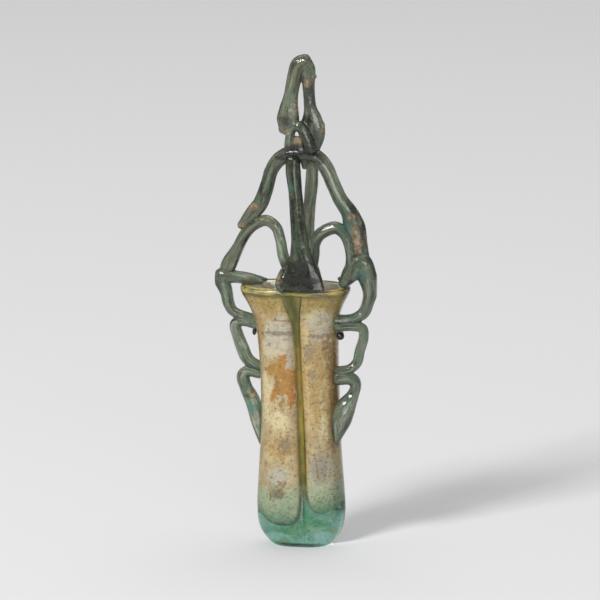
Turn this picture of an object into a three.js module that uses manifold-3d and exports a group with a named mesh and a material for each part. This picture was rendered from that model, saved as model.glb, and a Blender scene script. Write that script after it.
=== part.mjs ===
// A late Roman glass double flask: one blown bubble pinched into two tubes under one oval rim, with
// trails of blue-green glass laid on hot as zigzag side handles and as a basket handle in tiers.
// X runs to the right along the two tubes, Y to the back and Z up from the middle of the underside.
import * as THREE from "three";
import { mergeVertices } from "three/addons/utils/BufferGeometryUtils.js";
import Module from "manifold-3d";

const wasm = await Module();
wasm.setup();

// Driving sizes of the body, in millimetres
const RIM_HEIGHT = 122.4;
const LIP_ROUND_HEIGHT = 121.7;
const LIP_HEIGHT = 120.4;
const FLARE_HEIGHT = 118.6;
const RIM_HALF_WIDTH = 25.5;
const RIM_HALF_DEPTH = 13.6;
const BELLY_HEIGHT = 17;
const BELLY_HALF_WIDTH = 20.7;
const WAIST_HEIGHT = 72;
const WAIST_HALF_WIDTH = 18.4;
const NECK_HEIGHT = 101;
const NECK_HALF_WIDTH = 19.3;
const TUBE_HALF_DEPTH = 10.8;
const FOOT_HALF_WIDTH = 12.8;
const FOOT_HALF_DEPTH = 8.8;
const LEFT_TUBE_FLOOR = 9.5;
const RIGHT_TUBE_FLOOR = 16;
const TUBE_FLOOR_ROUND = 12;
const MOUTH_CLEARANCE = 2;

// How square the body's oval is, how wide the groove between the tubes is, and how round a tube is
// beside it
const OVAL_POWER = 2.5;
const GROOVE_SPREAD = 3.4;
const TUBE_INNER_ROUND = 4.5;

// Body sections: height, middle in X, half width, half depth, depth of the groove as a share, and
// the groove's place in X
const BODY_SECTIONS = [
  [0, 0.4, FOOT_HALF_WIDTH, FOOT_HALF_DEPTH, 0, 3.3],
  [0.7, 0.4, FOOT_HALF_WIDTH + 1.2, FOOT_HALF_DEPTH + 0.6, 0, 3.3],
  [2.2, 0.4, 15.6, 9.7, 0, 3.2],
  [4.8, 0.3, 17.8, 10.3, 0.03, 3.1],
  [9.2, 0.2, 19.7, TUBE_HALF_DEPTH, 0.08, 3],
  [BELLY_HEIGHT, 0.2, BELLY_HALF_WIDTH, TUBE_HALF_DEPTH + 0.2, 0.2, 2.8],
  [30, 0.1, 20.2, TUBE_HALF_DEPTH, 0.34, 2.2],
  [50, -0.1, 18.9, TUBE_HALF_DEPTH - 0.2, 0.38, 1.5],
  [WAIST_HEIGHT, -0.4, WAIST_HALF_WIDTH, TUBE_HALF_DEPTH - 0.3, 0.38, 0.6],
  [NECK_HEIGHT, -1.6, NECK_HALF_WIDTH, TUBE_HALF_DEPTH, 0.36, -0.8],
  [109, -2.3, 20.6, 11.4, 0.24, -1.6],
  [114.2, -2.6, 22.7, 12.3, 0.12, -2.2],
  [FLARE_HEIGHT, -2.7, 24.9, 13.3, 0.04, -2.5],
  [LIP_HEIGHT, -2.6, RIM_HALF_WIDTH, RIM_HALF_DEPTH, 0.03, -2.6],
  [LIP_ROUND_HEIGHT, -2.6, RIM_HALF_WIDTH - 0.3, RIM_HALF_DEPTH - 0.3, 0.03, -2.6],
  [RIM_HEIGHT, -2.6, RIM_HALF_WIDTH - 1.1, RIM_HALF_DEPTH - 1.1, 0.03, -2.6],
];

// Glass thickness: height, left wall, right wall, front and back wall, half of the web between the tubes
const GLASS_THICKNESS = [
  [LEFT_TUBE_FLOOR, 2.6, 3.8, 2.6, 2.2],
  [30, 2.3, 3.6, 2.4, 1.8],
  [60, 2.1, 2.8, 2.1, 1.4],
  [95, 2, 2, 2, 1.4],
  [108, 2, 2, 2, 2.2],
  [115, 2, 2, 2, 3.4],
  [LIP_HEIGHT, 2.2, 2.2, 2.2, 3.4],
  [LIP_ROUND_HEIGHT, 1.6, 1.6, 1.6, 3],
  [RIM_HEIGHT, 0.6, 0.6, 0.6, 2.4],
];

// Trails are lists of stations: x, y, z, width seen from the front, thickness from front to back
const LEFT_SHOULDER_TRAIL = [
  [-20, 4.8, 122.8, 3.8, 7],
  [-24.6, 3, 123.6, 5.4, 8],
  [-30.4, 1, 124.8, 5.6, 8],
  [-37, 0, 125, 7.6, 7],
  [-35, 0, 118, 5.8, 6.5],
  [-33.9, 0, 112.6, 5.1, 6.5],
  [-31.2, 0.6, 108.2, 4.4, 6.5],
  [-22, 2.5, 105, 3.6, 8],
];
const LEFT_MIDDLE_TRAIL = [
  [-21.6, 2.5, 102.2, 3.6, 8],
  [-27.6, 1.3, 104, 4.6, 7],
  [-30.9, 0.4, 102.6, 5, 6.5],
  [-29.9, 0.3, 98, 5.2, 6.5],
  [-27.4, 0.5, 91, 6, 6.5],
  [-24.9, 1.2, 85.8, 5.8, 7],
  [-20, 2.5, 82.6, 4.4, 8],
];
const LEFT_LOWER_TRAIL = [
  [-19.8, 2.5, 79.2, 4.6, 8],
  [-24.8, 1.5, 80.4, 5.2, 7],
  [-27.3, 0.7, 78, 6, 6.5],
  [-25.9, 1, 72.6, 5.9, 7],
  [-22.8, 1.8, 65.5, 7, 8],
  [-20.6, 2.5, 55.5, 6, 8.5],
  [-19, 2.5, 46.6, 2, 5],
];
const RIGHT_SHOULDER_TRAIL = [
  [20.2, -1, 124, 5, 9],
  [23.8, -1, 129, 8.4, 9],
  [28, -1, 134, 9.6, 8.4],
  [31, -1, 127.4, 9, 7.6],
  [32.3, -1, 120.8, 7, 7],
  [31.4, -1, 115.4, 5.5, 6.5],
  [29.2, -1, 110.2, 5.4, 6.5],
  [24.2, -2, 107.6, 4.5, 7.5],
  [17.5, -3, 107.3, 4.4, 9],
];
const RIGHT_MIDDLE_TRAIL = [
  [17.5, -3, 103.9, 4.2, 9],
  [24.4, -2, 104.1, 4.4, 7.5],
  [28.8, -1, 103, 4.6, 6.5],
  [29.4, -1, 98.6, 4.5, 6.5],
  [27.7, -1, 92.4, 4.6, 6.5],
  [26.4, -1, 87, 4.7, 6.5],
  [23, -2, 83.9, 4.4, 7],
  [17.5, -3, 83, 4.2, 8],
];
const RIGHT_LOWER_TRAIL = [
  [17.5, -3, 79.2, 5.6, 9],
  [22.8, -2, 79.6, 5.8, 8],
  [25.7, -1, 77, 5.2, 7],
  [24.8, -1, 72, 5.5, 7],
  [21.3, -2.6, 65.6, 9.4, 8.8],
  [18.9, -3.6, 58.4, 9, 9],
  [17.6, -4.2, 51, 3.6, 5.5],
];
const LEFT_ARCH = [
  [-36, 0, 124, 4.6, 6],
  [-33.9, 0, 130.4, 7.2, 6],
  [-29.5, 0, 139, 5.3, 6],
  [-26, 0, 145.6, 5.2, 5.6],
  [-21.6, 0, 150, 5.2, 5.6],
  [-16.2, 0, 152, 5.2, 5.6],
  [-11.6, 0, 149, 5, 5.6],
  [-9.6, 0, 143, 4.9, 5.6],
  [-8.4, 0, 136, 5.3, 5.6],
  [-6, 0, 129.6, 5.3, 5.8],
  [-3.2, 0, 124, 5, 6],
];
const RIGHT_ARCH = [
  [1.6, 1, 123.4, 5.2, 6],
  [4.8, 1, 129.3, 4.8, 5.6],
  [6.1, 1, 136, 4.8, 5.6],
  [6.5, 0.5, 141.8, 5.2, 5.6],
  [9.2, 0, 146.6, 5.6, 5.6],
  [15.6, 0, 149.7, 5.8, 5.6],
  [20.2, -0.6, 147.2, 5.2, 5.6],
  [22.8, -1.4, 141.6, 4.6, 5.4],
  [23.5, -1.6, 134, 4.6, 5.4],
  [21.6, -1, 127.6, 5.2, 5.6],
];
const UPPER_ARCH = [
  [-28, 0, 149.2, 3.6, 5],
  [-23.6, 0, 154.2, 6.4, 6],
  [-18.8, 0, 160.2, 6.9, 6],
  [-15.8, 0, 168.4, 6.3, 6],
  [-14, 0, 175, 6, 6],
  [-10.6, 0, 180.4, 6.5, 6.5],
  [-5.6, 0, 183.5, 7, 7.2],
  [0.4, 0, 183.8, 8.4, 8],
  [6.4, 0, 182.8, 7.2, 7.6],
  [11.2, 0, 178.3, 6.9, 7],
  [15.2, 0, 169.8, 6.6, 7],
  [18.4, 0, 163, 6.8, 7],
  [22.4, 0.6, 156.8, 8, 7],
  [24.6, 0.8, 150, 10.4, 6.8],
  [26.3, 0.8, 142, 9, 6.8],
  [27.8, 0.4, 134.6, 8.6, 7],
];
const FRONT_POST = [
  [-3.2, -3.6, 181.6, 6.6, 5],
  [-2.8, -4.4, 175, 6.8, 5.5],
  [-1.6, -5.5, 166, 6.3, 5.5],
  [0, -8, 154, 7.1, 5.5],
  [1.3, -10.4, 143, 8.6, 5.5],
  [2.4, -12, 134.5, 13, 5.4],
  [3, -13, 128, 18.4, 4.8],
  [2.8, -13.7, 123.4, 21.4, 4.2],
];
const BACK_POST = [
  [4.7, 3, 181.6, 5.2, 5],
  [4, 4.8, 169, 5.8, 5],
  [2.7, 7.2, 157.5, 5.5, 5],
  [1.7, 9.6, 145, 5.6, 5],
  [1.2, 11.6, 133.5, 7.4, 5],
  [1.1, 12.8, 124, 12.4, 4.8],
];
const LOOP_LEFT_STRAND = [
  [-7.2, -0.5, 195, 6.4, 6],
  [-6.1, -0.5, 199, 10.4, 7.5],
  [-5.6, -0.5, 204.4, 9, 7],
  [-4.7, -0.5, 210.4, 6.9, 6.4],
  [-2.9, -0.5, 220, 6.8, 6],
  [-1.2, -0.3, 225, 7.2, 6.2],
  [2.2, 0, 227.3, 6.4, 6],
];
const LOOP_RIGHT_STRAND = [
  [1.4, 0.2, 227, 6.4, 6],
  [3.3, 0.8, 222.6, 6.4, 6],
  [3.3, 1.2, 214, 5.6, 5.8],
  [4, 1, 206, 5.8, 5.5],
  [4.9, 1, 201, 8.6, 6],
  [5.3, 0.6, 196.4, 11.4, 6],
  [6.6, 0.5, 191.8, 8.8, 5.6],
  [6.8, 0.5, 186, 4, 5],
];
const LOOP_KNOT = [
  [-5.4, -0.5, 184.6, 4.8, 5.5],
  [-5.2, -1, 190.4, 4.4, 5.4],
  [-3.8, -2, 195.2, 4, 5],
  [-0.4, -2.8, 197.2, 4.6, 5],
  [2.8, -3.2, 192.6, 5.2, 5],
  [5, -3, 186.2, 5.2, 5],
];
const LOOP_PLUG = [
  [-0.4, -1.5, 184.8, 7.2, 4.4],
  [-1.5, -1.5, 190.6, 4.8, 3.8],
];

// The dark wire round the back of the body: its height at the back and at its tips, its thickness,
// how far its two ends reach forward, and the width and height of the bead on each end
const WIRE_HEIGHT = 97.4;
const WIRE_TIP_HEIGHT = 99.6;
const WIRE_THICKNESS = 1.6;
const WIRE_LEFT_REACH = 0.6;
const WIRE_RIGHT_REACH = 3.4;
const WIRE_LEFT_BEAD = [2, 3.4];
const WIRE_RIGHT_BEAD = [3.7, 3.7];
// The share of the groove that the wire dips into, and how far back it stays at the body's two sides
const WIRE_GROOVE_SHARE = 1 / 3;
const WIRE_SIDE_SETBACK = 1;
const WIRE_STEPS = 8;

// Pieces laid on each other keep this gap, and a trail's end is a dome this high for its thickness
const GAP = 0.3;
const END_DOME_SHARE = 0.4;

// How fine the meshes are
const BODY_SIDES = 40;
const BODY_STEP = 7;
const TUBE_SIDES = 22;
const TUBE_STEPS = 11;
const TUBE_FLOOR_STEPS = 3;
const TRAIL_SIDES = 8;
const TRAIL_STEPS_PER_STATION = 2;
const TRAIL_END_STEPS = 1;
const BEAD_SIDES = 8;
const MERGE_DISTANCE = 1e-4;
const ROUNDING = 1e-6;

const bodyGlass = new THREE.MeshStandardMaterial({
  color: 0xb7a87e,
  roughness: 0.35,
  metalness: 0,
  transparent: true,
  opacity: 0.8,
});
const trailGlass = new THREE.MeshStandardMaterial({
  color: 0x6c7f70,
  roughness: 0.25,
  metalness: 0,
  transparent: true,
  opacity: 0.85,
});
const darkPostGlass = trailGlass.clone();
darkPostGlass.color.set(0x525a4c);
const darkWire = new THREE.MeshStandardMaterial({ color: 0x1b1a1c, roughness: 0.3, metalness: 0.2 });

// A smooth function of height through the rows of a table whose first column is the height
function smoothTable(rows) {
  const heights = rows.map((row) => row[0]);
  const values = rows.flatMap((row) => row.slice(1));
  const cubic = new THREE.CubicInterpolant(heights, values, rows[0].length - 1);
  return (z) => Array.from(cubic.evaluate(THREE.MathUtils.clamp(z, heights[0], heights.at(-1))));
}

const bodySectionAt = smoothTable(BODY_SECTIONS);
const glassAt = smoothTable(GLASS_THICKNESS);

// Which side of the middle plane a point at this angle is on: 1 at the back, -1 in front, 0 on it
function sideAt(angle) {
  const across = Math.sin(angle);
  return Math.abs(across) < ROUNDING ? 0 : Math.sign(across);
}

// Half the depth of an oval with a soft groove front and back, at one place across it
function halfDepthAt(x, middle, halfWidth, halfDepth, grooveShare, grooveX) {
  const across = Math.min(Math.abs(x - middle) / halfWidth, 1);
  const oval = halfDepth * (1 - across ** OVAL_POWER) ** (1 / OVAL_POWER);
  return oval * (1 - grooveShare * Math.exp(-(((x - grooveX) / GROOVE_SPREAD) ** 2)));
}

// A closed solid from rings of points, lowest first, each ring running anticlockwise seen from the
// far end
function loft(rings, firstPole, lastPole) {
  const sides = rings[0].length;
  const points = [firstPole, ...rings.flat(), lastPole];
  const last = points.length - 1;
  const triangles = [];
  for (let side = 0; side < sides; side++) {
    const next = (side + 1) % sides;
    triangles.push(0, 1 + next, 1 + side);
    for (let ring = 0; ring < rings.length - 1; ring++) {
      const low = 1 + ring * sides;
      const high = low + sides;
      triangles.push(low + side, low + next, high + next);
      triangles.push(low + side, high + next, high + side);
    }
    const top = 1 + (rings.length - 1) * sides;
    triangles.push(top + side, top + next, last);
  }
  const geometry = new THREE.BufferGeometry();
  geometry.setAttribute("position", new THREE.Float32BufferAttribute(points.flatMap((p) => p.toArray()), 3));
  geometry.setIndex(triangles);
  return solidOf(geometry);
}

function solidOf(geometry) {
  const merged = mergeVertices(geometry, MERGE_DISTANCE);
  return new wasm.Manifold(
    new wasm.Mesh({
      numProp: 3,
      vertProperties: new Float32Array(merged.attributes.position.array),
      triVerts: new Uint32Array(merged.index.array),
    }),
  );
}

function meshOf(name, solid, material) {
  const { vertProperties, triVerts } = solid.getMesh();
  const geometry = new THREE.BufferGeometry();
  geometry.setAttribute("position", new THREE.BufferAttribute(vertProperties, 3));
  geometry.setIndex(new THREE.BufferAttribute(triVerts, 1));
  geometry.computeVertexNormals();
  const mesh = new THREE.Mesh(geometry, material);
  mesh.name = name;
  return mesh;
}

// Heights from one level to another, with a level at every row of the body's table on the way
function bodyHeights() {
  const heights = [];
  for (let row = 0; row < BODY_SECTIONS.length - 1; row++) {
    const [low, high] = [BODY_SECTIONS[row][0], BODY_SECTIONS[row + 1][0]];
    const steps = Math.max(1, Math.round((high - low) / BODY_STEP));
    for (let step = 0; step < steps; step++) {
      heights.push(THREE.MathUtils.lerp(low, high, step / steps));
    }
  }
  return [...heights, RIM_HEIGHT];
}

// The outside of the body as a full solid, larger all round by the amount given
function fullBody(grow = 0) {
  const rings = bodyHeights().map((z) => {
    const [middle, halfWidth, halfDepth, grooveShare, grooveX] = bodySectionAt(z);
    const [half, deep] = [halfWidth + grow, halfDepth + grow];
    return Array.from({ length: BODY_SIDES }, (_, side) => {
      const angle = (2 * Math.PI * side) / BODY_SIDES;
      const end = middle + Math.sign(Math.cos(angle)) * half;
      const x = grooveX + Math.abs(Math.cos(angle)) * (end - grooveX);
      const y = sideAt(angle) * halfDepthAt(x, middle, half, deep, grooveShare, grooveX);
      return new THREE.Vector3(x, y, z);
    });
  });
  rings[0].forEach((point) => (point.z -= grow));
  rings.at(-1).forEach((point) => (point.z += grow));
  const poleOf = (ring) => new THREE.Vector3(ring[BODY_SIDES / 4].x, 0, ring[0].z);
  return loft(rings, poleOf(rings[0]), poleOf(rings.at(-1)));
}

// The hollow of one tube, from its rounded floor out through the rim. Side is -1 on the left and 1
// on the right.
function tubeHollow(side, floor) {
  const levels = Array.from({ length: TUBE_FLOOR_STEPS }, (_, step) => {
    const angle = ((step + 1) / (TUBE_FLOOR_STEPS + 1)) * (Math.PI / 2);
    return { z: floor + TUBE_FLOOR_ROUND * (1 - Math.cos(angle)), fill: Math.sin(angle) };
  });
  const straightFrom = floor + TUBE_FLOOR_ROUND;
  for (let step = 0; step <= TUBE_STEPS; step++) {
    levels.push({ z: THREE.MathUtils.lerp(straightFrom, FLARE_HEIGHT, step / TUBE_STEPS), fill: 1 });
  }
  const mouthTop = RIM_HEIGHT + MOUTH_CLEARANCE;
  for (const z of [LIP_HEIGHT, LIP_ROUND_HEIGHT, RIM_HEIGHT, mouthTop]) {
    levels.push({ z, fill: 1 });
  }
  const middles = [];
  const rings = levels.map(({ z, fill }) => {
    const [middle, halfWidth, halfDepth, grooveShare, grooveX] = bodySectionAt(z);
    const [leftWall, rightWall, faceWall, halfWeb] = glassAt(z);
    const innerHalf = halfWidth - (side < 0 ? leftWall : rightWall);
    const [inner, outer] = [grooveX + side * halfWeb, middle + side * innerHalf];
    const centre = (inner + outer) / 2;
    middles.push(centre);
    return Array.from({ length: TUBE_SIDES }, (_, corner) => {
      const angle = (2 * Math.PI * corner) / TUBE_SIDES;
      const x = centre + (Math.abs(outer - inner) / 2) * Math.cos(angle);
      const fromWeb = Math.min(Math.abs(x - inner) / TUBE_INNER_ROUND, 1);
      const round = Math.sqrt(1 - (1 - fromWeb) ** 2);
      const deep = halfDepthAt(x, middle, innerHalf, halfDepth - faceWall, grooveShare, grooveX);
      const y = sideAt(angle) * deep * round;
      return new THREE.Vector3(centre + fill * (x - centre), fill * y, z);
    });
  });
  const lowPole = new THREE.Vector3(middles[0], 0, floor);
  const highPole = new THREE.Vector3(middles.at(-1), 0, mouthTop);
  return loft(rings, lowPole, highPole);
}

// A rope of glass through its stations, with domed ends. Its thickness is measured along the front
// axis.
function trail(stations, { grow = 0, frontAxis = new THREE.Vector3(0, 1, 0) } = {}) {
  const route = new THREE.CatmullRomCurve3(
    stations.map(([x, y, z]) => new THREE.Vector3(x, y, z)),
    false,
    "catmullrom",
    0.5,
  );
  const spans = stations.length - 1;
  const steps = spans * TRAIL_STEPS_PER_STATION;
  const ringAt = (t, slide, scale) => {
    const along = route.getTangent(t);
    const centre = route.getPoint(t).addScaledVector(along, slide);
    const deepAxis = frontAxis.clone().addScaledVector(along, -frontAxis.dot(along)).normalize();
    const wideAxis = new THREE.Vector3().crossVectors(deepAxis, along);
    const station = Math.min(Math.floor(t * spans), spans - 1);
    const share = t * spans - station;
    const [start, end] = [stations[station], stations[station + 1]];
    const width = THREE.MathUtils.lerp(start[3], end[3], share) + 2 * grow;
    const depth = THREE.MathUtils.lerp(start[4], end[4], share) + 2 * grow;
    return Array.from({ length: TRAIL_SIDES }, (_, side) => {
      const angle = (2 * Math.PI * (side + 0.5)) / TRAIL_SIDES;
      return centre
        .clone()
        .addScaledVector(wideAxis, 0.5 * width * scale * Math.cos(angle))
        .addScaledVector(deepAxis, 0.5 * depth * scale * Math.sin(angle));
    });
  };
  const domeAt = (station) => END_DOME_SHARE * Math.min(station[3], station[4]) + grow;
  const [firstDome, lastDome] = [domeAt(stations[0]), domeAt(stations.at(-1))];
  const rings = [];
  for (let step = TRAIL_END_STEPS; step > 0; step--) {
    const angle = (step / (TRAIL_END_STEPS + 1)) * (Math.PI / 2);
    rings.push(ringAt(0, -firstDome * Math.sin(angle), Math.cos(angle)));
  }
  for (let step = 0; step <= steps; step++) {
    rings.push(ringAt(step / steps, 0, 1));
  }
  for (let step = 1; step <= TRAIL_END_STEPS; step++) {
    const angle = (step / (TRAIL_END_STEPS + 1)) * (Math.PI / 2);
    rings.push(ringAt(1, lastDome * Math.sin(angle), Math.cos(angle)));
  }
  const poleAt = (t, slide) => route.getPoint(t).addScaledVector(route.getTangent(t), slide);
  return loft(rings, poleAt(0, -firstDome), poleAt(1, lastDome));
}

// Several trails pressed together while soft, as one solid
function pressed(strands, options) {
  return strands.map((stations) => trail(stations, options)).reduce((whole, strand) => whole.add(strand));
}

// A piece laid on its neighbours: it ends at their faces, a gap away
function laidOn(solid, ...neighbours) {
  return neighbours.reduce((left, neighbour) => left.subtract(neighbour), solid);
}

// The wire's stations, from its left tip round the back of the body to its right tip
function wireStations() {
  const [middle, halfWidth, halfDepth, grooveShare, grooveX] = bodySectionAt(WIRE_HEIGHT);
  const clearance = WIRE_THICKNESS / 2 + 2 * GAP;
  const [half, deep] = [halfWidth + clearance, halfDepth + clearance];
  const round = [WIRE_THICKNESS, WIRE_THICKNESS];
  const stations = [[middle - half, -WIRE_LEFT_REACH, WIRE_TIP_HEIGHT, ...round]];
  for (let step = 0; step <= WIRE_STEPS; step++) {
    const angle = Math.PI * (1 - step / WIRE_STEPS);
    const x = middle + half * Math.cos(angle);
    const bodyDepth = halfDepthAt(x, middle, half, deep, grooveShare * WIRE_GROOVE_SHARE, grooveX);
    const y = Math.max(bodyDepth, WIRE_SIDE_SETBACK);
    const rise = (WIRE_TIP_HEIGHT - WIRE_HEIGHT) * Math.abs(Math.cos(angle)) ** 3;
    stations.push([x, y, WIRE_HEIGHT + rise, ...round]);
  }
  stations.push([middle + half, -WIRE_RIGHT_REACH, WIRE_TIP_HEIGHT, ...round]);
  return stations;
}

// A bead round one end of the wire
function bead(station, [width, height]) {
  const geometry = new THREE.SphereGeometry(0.5, BEAD_SIDES, BEAD_SIDES / 2);
  geometry.rotateX(Math.PI / 2).scale(width, width, height).translate(station[0], station[1], station[2]);
  geometry.deleteAttribute("normal").deleteAttribute("uv");
  return solidOf(geometry);
}

// The wire with its two beads
function wireWithBeads() {
  const stations = wireStations();
  return trail(stations, { frontAxis: new THREE.Vector3(0, 0, 1) })
    .add(bead(stations[0], WIRE_LEFT_BEAD))
    .add(bead(stations.at(-1), WIRE_RIGHT_BEAD));
}

const LEFT_SIDE = [LEFT_SHOULDER_TRAIL, LEFT_MIDDLE_TRAIL, LEFT_LOWER_TRAIL];
const RIGHT_SIDE = [RIGHT_SHOULDER_TRAIL, RIGHT_MIDDLE_TRAIL, RIGHT_LOWER_TRAIL];
const LOOP = [LOOP_LEFT_STRAND, LOOP_RIGHT_STRAND, LOOP_KNOT, LOOP_PLUG];
const grown = { grow: GAP };
const bodySpace = fullBody(GAP);
const upperArchSpace = trail(UPPER_ARCH, grown);
const leftArchSpace = trail(LEFT_ARCH, grown);
const rightArchSpace = trail(RIGHT_ARCH, grown);
const leftSideSpace = pressed(LEFT_SIDE, grown);
const rightSideSpace = pressed(RIGHT_SIDE, grown);
const frontPostSpace = trail(FRONT_POST, grown);
const backPostSpace = trail(BACK_POST, grown);

const body = fullBody().subtract(tubeHollow(-1, LEFT_TUBE_FLOOR)).subtract(tubeHollow(1, RIGHT_TUBE_FLOOR));
const leftSide = laidOn(pressed(LEFT_SIDE), bodySpace);
const rightSide = laidOn(pressed(RIGHT_SIDE), bodySpace);
const leftArch = laidOn(trail(LEFT_ARCH), bodySpace, leftSideSpace);
const rightArch = laidOn(trail(RIGHT_ARCH), bodySpace, rightSideSpace, leftArchSpace);
const upperArch = laidOn(trail(UPPER_ARCH), leftArchSpace, rightArchSpace, rightSideSpace);
const frontPost = laidOn(trail(FRONT_POST), bodySpace, leftArchSpace, rightArchSpace, upperArchSpace);
const backPost = laidOn(trail(BACK_POST), bodySpace, leftArchSpace, rightArchSpace, upperArchSpace);
const topLoop = laidOn(pressed(LOOP), upperArchSpace, frontPostSpace, backPostSpace);
const wire = laidOn(wireWithBeads(), bodySpace, leftSideSpace, rightSideSpace);

const flask = new THREE.Group();
flask.add(
  meshOf("double_tube_body", body, bodyGlass),
  meshOf("left_side_handle", leftSide, trailGlass),
  meshOf("right_side_handle", rightSide, trailGlass),
  meshOf("left_arch", leftArch, trailGlass),
  meshOf("right_arch", rightArch, trailGlass),
  meshOf("upper_arch", upperArch, trailGlass),
  meshOf("front_post", frontPost, darkPostGlass),
  meshOf("back_post", backPost, trailGlass),
  meshOf("top_loop", topLoop, trailGlass),
  meshOf("retaining_wire", wire, darkWire),
);

export default flask;
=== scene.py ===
import math

import bpy
import numpy as np
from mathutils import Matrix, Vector, noise


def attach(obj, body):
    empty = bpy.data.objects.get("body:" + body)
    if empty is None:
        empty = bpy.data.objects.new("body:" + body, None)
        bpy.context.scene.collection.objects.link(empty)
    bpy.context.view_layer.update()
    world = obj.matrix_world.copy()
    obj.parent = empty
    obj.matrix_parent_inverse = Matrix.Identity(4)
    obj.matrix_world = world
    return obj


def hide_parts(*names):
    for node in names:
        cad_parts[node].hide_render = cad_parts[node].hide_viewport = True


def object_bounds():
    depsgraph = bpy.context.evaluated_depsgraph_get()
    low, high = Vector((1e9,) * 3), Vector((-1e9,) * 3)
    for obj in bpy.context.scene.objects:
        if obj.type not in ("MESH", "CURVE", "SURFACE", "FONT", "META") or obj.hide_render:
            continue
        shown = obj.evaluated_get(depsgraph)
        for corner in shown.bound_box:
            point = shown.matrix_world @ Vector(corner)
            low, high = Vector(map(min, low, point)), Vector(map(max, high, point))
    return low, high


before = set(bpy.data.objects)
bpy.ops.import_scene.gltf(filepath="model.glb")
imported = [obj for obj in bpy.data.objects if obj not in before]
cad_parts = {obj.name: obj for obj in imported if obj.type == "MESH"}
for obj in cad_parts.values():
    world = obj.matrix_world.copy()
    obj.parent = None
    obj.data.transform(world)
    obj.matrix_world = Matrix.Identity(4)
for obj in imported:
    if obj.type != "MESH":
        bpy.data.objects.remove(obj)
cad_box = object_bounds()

# Lengths in the tables are millimetres. Blender works in metres.
MM = 0.001

# The body's sizes, as on the solid
RIM_HEIGHT = 122.4
LIP_ROUND_HEIGHT = 121.7
LIP_HEIGHT = 120.4
FLARE_HEIGHT = 118.6
OVAL_POWER = 2.5
GROOVE_SPREAD = 3.4
MOUTH_CLEARANCE = 2
# The hollows differ a little from the solid's where they show through the glass: their floors are lower
# and rounder, and their edges along the web are sharper
TUBE_INNER_ROUND = 1.5
TUBE_FLOOR_ROUND = 14.5
LEFT_TUBE_FLOOR = 8.2
RIGHT_TUBE_FLOOR = 14
# The two tubes: name, side in X, height of the floor
TUBES = [("left", -1, LEFT_TUBE_FLOOR), ("right", 1, RIGHT_TUBE_FLOOR)]

# Height, middle in X, half width, half depth, depth of the groove as a share, the groove's place in X
BODY_SECTIONS = [
    [0, 0.4, 12.8, 8.8, 0, 3.3],
    [0.7, 0.4, 14, 9.4, 0, 3.3],
    [2.2, 0.4, 15.6, 9.7, 0, 3.2],
    [4.8, 0.3, 17.8, 10.3, 0.03, 3.1],
    [9.2, 0.2, 19.7, 10.8, 0.08, 3],
    [17, 0.2, 20.7, 11, 0.2, 2.8],
    [30, 0.1, 20.2, 10.8, 0.34, 2.2],
    [50, -0.1, 18.9, 10.6, 0.38, 1.5],
    [72, -0.4, 18.4, 10.5, 0.38, 0.6],
    [101, -1.6, 19.3, 10.8, 0.36, -0.8],
    [109, -2.3, 20.6, 11.4, 0.24, -1.6],
    [114.2, -2.6, 22.7, 12.3, 0.12, -2.2],
    [FLARE_HEIGHT, -2.7, 24.9, 13.3, 0.04, -2.5],
    [LIP_HEIGHT, -2.6, 25.5, 13.6, 0.03, -2.6],
    [LIP_ROUND_HEIGHT, -2.6, 25.2, 13.3, 0.03, -2.6],
    [RIM_HEIGHT, -2.6, 24.4, 12.5, 0.03, -2.6],
]
# Height, left wall, right wall, front and back wall, half of the web between the tubes. The web is a
# little thinner than the solid's, because the linings stand in it.
GLASS_THICKNESS = [
    [LEFT_TUBE_FLOOR, 2.6, 3.8, 2.6, 1.9],
    [30, 2.3, 3.6, 2.4, 1.4],
    [60, 2.1, 2.8, 2.1, 1.05],
    [95, 2, 2, 2, 1.05],
    [108, 2, 2, 2, 1.9],
    [115, 2, 2, 2, 3.2],
    [LIP_HEIGHT, 2.2, 2.2, 2.2, 3.4],
    [LIP_ROUND_HEIGHT, 1.6, 1.6, 1.6, 3],
    [RIM_HEIGHT, 0.6, 0.6, 0.6, 2.4],
]

# The trails' stations, as on the solids: x, y, z, width seen from the front, thickness from front to back
LEFT_SHOULDER_TRAIL = [
    [-20, 4.8, 122.8, 3.8, 7], [-24.6, 3, 123.6, 5.4, 8], [-30.4, 1, 124.8, 5.6, 8],
    [-37, 0, 125, 7.6, 7], [-35, 0, 118, 5.8, 6.5], [-33.9, 0, 112.6, 5.1, 6.5],
    [-31.2, 0.6, 108.2, 4.4, 6.5], [-22, 2.5, 105, 3.6, 8],
]
LEFT_MIDDLE_TRAIL = [
    [-21.6, 2.5, 102.2, 3.6, 8], [-27.6, 1.3, 104, 4.6, 7], [-30.9, 0.4, 102.6, 5, 6.5],
    [-29.9, 0.3, 98, 5.2, 6.5], [-27.4, 0.5, 91, 6, 6.5], [-24.9, 1.2, 85.8, 5.8, 7],
    [-20, 2.5, 82.6, 4.4, 8],
]
LEFT_LOWER_TRAIL = [
    [-19.8, 2.5, 79.2, 4.6, 8], [-24.8, 1.5, 80.4, 5.2, 7], [-27.3, 0.7, 78, 6, 6.5],
    [-25.9, 1, 72.6, 5.9, 7], [-22.8, 1.8, 65.5, 7, 8], [-20.6, 2.5, 55.5, 6, 8.5],
    [-19, 2.5, 46.6, 2, 5],
]
RIGHT_SHOULDER_TRAIL = [
    [20.2, -1, 124, 5, 9], [23.8, -1, 129, 8.4, 9], [28, -1, 134, 9.6, 8.4],
    [31, -1, 127.4, 9, 7.6], [32.3, -1, 120.8, 7, 7], [31.4, -1, 115.4, 5.5, 6.5],
    [29.2, -1, 110.2, 5.4, 6.5], [24.2, -2, 107.6, 4.5, 7.5], [17.5, -3, 107.3, 4.4, 9],
]
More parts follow.
